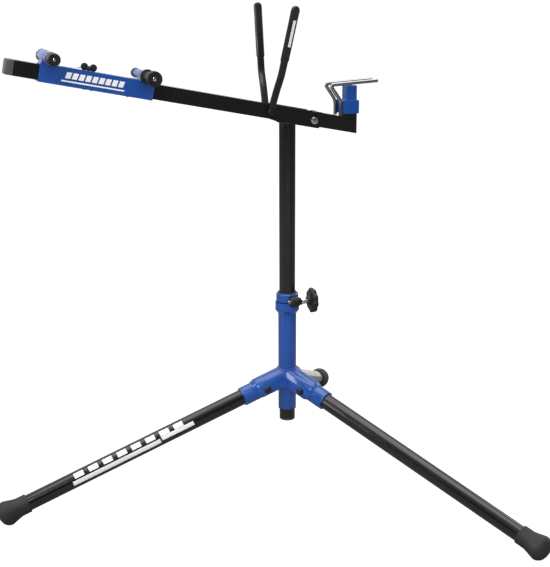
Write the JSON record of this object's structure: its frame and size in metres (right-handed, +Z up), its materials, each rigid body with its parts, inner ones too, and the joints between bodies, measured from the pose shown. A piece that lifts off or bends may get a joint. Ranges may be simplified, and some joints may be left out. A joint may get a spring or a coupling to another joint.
{
  "type": "bicycle repair stand",
  "caption": "Folding bicycle repair stand: three legs, a sliding post, and a sloping beam with axle clamps, frame guides and a bottom bracket cradle.",
  "frame": {"origin": "on the floor at the centre of the footprint, 153 mm from the post axis towards the fork end and 7 mm from it towards the far side", "axes": "+X along the beam towards the bottom bracket cradle, -Y the near side with the clamp knobs, +Z up"},
  "size_m": [1.0222, 1.1572, 1.0571],
  "materials": {
    "blue_paint": "gloss powder coat",
    "black_paint": "gloss",
    "black_plastic": "moulded satin",
    "black_rubber": "smooth rubber",
    "chrome": "polished",
    "zinc_steel": "zinc plated",
    "nylon": "natural nylon"
  },
  "bodies": {
    "tripod": {"hub_tube": "blue_paint", "clamp_collar": "blue_paint", "yoke_left": "blue_paint", "yoke_right": "blue_paint", "yoke_rear": "blue_paint", "lower_bush": "nylon", "pivot_bolts": "zinc_steel", "bolt_caps": "black_plastic", "clamp_boss": "black_plastic"},
    "clamp_screw": {"clamp_stud": "chrome", "clamp_knob": "black_plastic"},
    "leg_left": {"leg_socket_left": "blue_paint", "leg_tube_left": "black_paint", "foot_left": "black_rubber"},
    "leg_right": {"leg_socket_right": "blue_paint", "leg_tube_right": "black_paint", "foot_right": "black_rubber"},
    "leg_rear": {"leg_socket_rear": "blue_paint", "leg_tube_rear": "black_paint", "foot_rear": "black_rubber"},
    "swivel_bush": {"upper_bush": "nylon"},
    "post": {"post_tube": "black_paint", "post_end_cap": "black_plastic", "saddle": "black_paint", "beam_bolt": "zinc_steel", "beam_nut": "zinc_steel"},
    "beam": {"beam_tube": "black_paint", "beam_end_cap": "black_plastic", "pivot_bush": "zinc_steel"},
    "lock_pin": {"lock_pin": "chrome", "lock_pin_ring": "chrome"},
    "guide_near": {"guide_arm_near": "black_paint", "guide_grip_near": "black_rubber"},
    "guide_far": {"guide_arm_far": "black_paint", "guide_grip_far": "black_rubber"},
    "carriage": {"carriage_sleeve": "blue_paint", "carriage_screws": "zinc_steel", "front_mount_block": "blue_paint", "front_axle_tube": "blue_paint", "rear_mount_block": "blue_paint", "rear_axle_tube": "blue_paint"},
    "front_clamp": {"front_skewer": "zinc_steel", "front_knob": "black_plastic", "front_nut": "zinc_steel"},
    "rear_clamp": {"rear_skewer": "zinc_steel", "rear_knob": "black_plastic", "rear_nut": "zinc_steel"},
    "chain_roller": {"chain_roller": "black_plastic"},
    "wing_lock": {"wing_knob": "black_plastic", "wing_screw": "zinc_steel"},
    "cradle": {"cradle_sleeve": "blue_paint", "cradle_riser": "blue_paint", "cradle_rods": "chrome"},
    "cradle_lock": {"cradle_screw": "zinc_steel", "cradle_knob": "black_plastic"}
  },
  "joints": [
    {"name": "clamp_knob_turn", "type": "hinge", "parent": "tripod", "child": "clamp_screw", "pos_m": [0.19521, -0.03621, 0.4305], "axis": [1, 0, 0], "continuous": true},
    {"name": "leg_fold_left", "type": "hinge", "parent": "tripod", "child": "leg_left", "pos_m": [0.09622, -0.0085, 0.23383], "axis": [0.0227, -0.9997, 0], "range_deg": [0, 70]},
    {"name": "leg_fold_right", "type": "hinge", "parent": "tripod", "child": "leg_right", "pos_m": [0.18207, -0.0555, 0.23383], "axis": [0.8545, 0.5195, 0], "range_deg": [0, 70]},
    {"name": "leg_fold_rear", "type": "hinge", "parent": "tripod", "child": "leg_rear", "pos_m": [0.17985, 0.04235, 0.23383], "axis": [-0.8771, 0.4802, 0], "range_deg": [0, 70]},
    {"name": "post_swivel", "type": "hinge", "parent": "tripod", "child": "swivel_bush", "pos_m": [0.15271, -0.00722, 0.43], "axis": [0, 0, 1], "continuous": true},
    {"name": "post_height", "type": "slide", "parent": "swivel_bush", "child": "post", "axis": [0, 0, 1], "range_m": [-0.12, 0.2]},
    {"name": "beam_fold", "type": "hinge", "parent": "post", "child": "beam", "pos_m": [0.11056, -0.00722, 0.8415], "axis": [0, -1, 0], "range_deg": [0, 96]},
    {"name": "lock_pin_pull", "type": "slide", "parent": "beam", "child": "lock_pin", "axis": [0, -1, 0], "range_m": [0, 0.036]},
    {"name": "guide_near_swing", "type": "hinge", "parent": "post", "child": "guide_near", "pos_m": [0.11056, -0.00722, 0.8415], "axis": [0, 1, 0], "range_deg": [-75, 75]},
    {"name": "guide_far_swing", "type": "hinge", "parent": "post", "child": "guide_far", "pos_m": [0.11056, -0.00722, 0.8415], "axis": [0, 1, 0], "range_deg": [-75, 75]},
    {"name": "carriage_slide", "type": "slide", "parent": "beam", "child": "carriage", "axis": [0.9803, 0, -0.1977], "range_m": [-0.04, 0.2]},
    {"name": "wing_knob_turn", "type": "hinge", "parent": "carriage", "child": "wing_lock", "pos_m": [-0.26431, -0.00722, 0.93524], "axis": [0.1977, 0, 0.9803], "continuous": true},
    {"name": "front_clamp_turn", "type": "hinge", "parent": "carriage", "child": "front_clamp", "pos_m": [-0.34416, -0.00722, 0.9642], "axis": [0, 1, 0], "continuous": true},
    {"name": "rear_clamp_turn", "type": "hinge", "parent": "carriage", "child": "rear_clamp", "pos_m": [-0.1536, -0.00722, 0.92271], "axis": [0, 1, 0], "continuous": true},
    {"name": "chain_roller_spin", "type": "hinge", "parent": "carriage", "child": "chain_roller", "pos_m": [-0.1536, -0.05221, 0.92271], "axis": [0, 1, 0], "continuous": true},
    {"name": "cradle_lift", "type": "slide", "parent": "beam", "child": "cradle", "axis": [0, 0, 1], "range_m": [0, 0.015]},
    {"name": "cradle_lock_turn", "type": "hinge", "parent": "cradle", "child": "cradle_lock", "pos_m": [0.29071, 0.02079, 0.8425], "axis": [0, 1, 0], "continuous": true}
  ]
}
